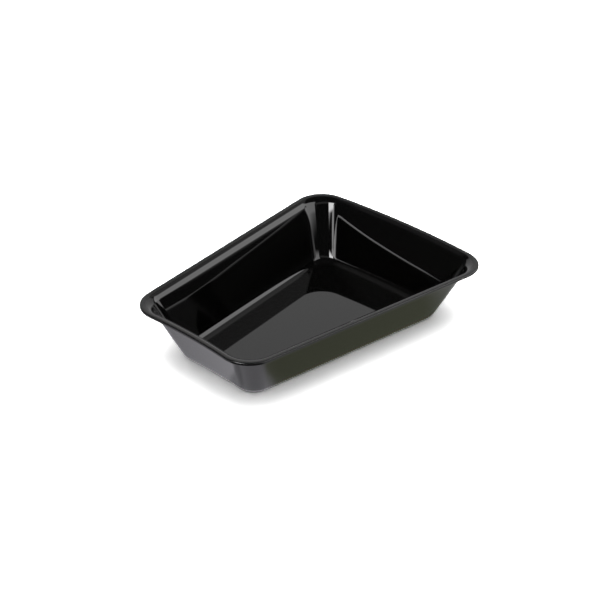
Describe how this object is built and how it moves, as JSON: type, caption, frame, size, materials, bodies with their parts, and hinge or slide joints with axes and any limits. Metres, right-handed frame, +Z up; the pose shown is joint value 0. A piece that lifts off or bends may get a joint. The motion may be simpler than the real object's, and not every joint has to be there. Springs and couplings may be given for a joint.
{
  "type": "petal salad bowl",
  "caption": "Shallow one-piece serving bowl shaped like one segment of a ring, with sloping walls, rounded corners and a flared rim with a turned-down lip.",
  "frame": {"origin": "on the resting plane, below the middle of the bowl's outline", "axes": "+Z up, +Y from the narrow end towards the wide end, X across"},
  "size_m": [0.2292, 0.3022, 0.06],
  "materials": {
    "black_plastic": "black moulded plastic, polished inside, satin outside and on the rim"
  },
  "bodies": {
    "root": {"salad_bowl": "black_plastic"}
  },
  "joints": []
}
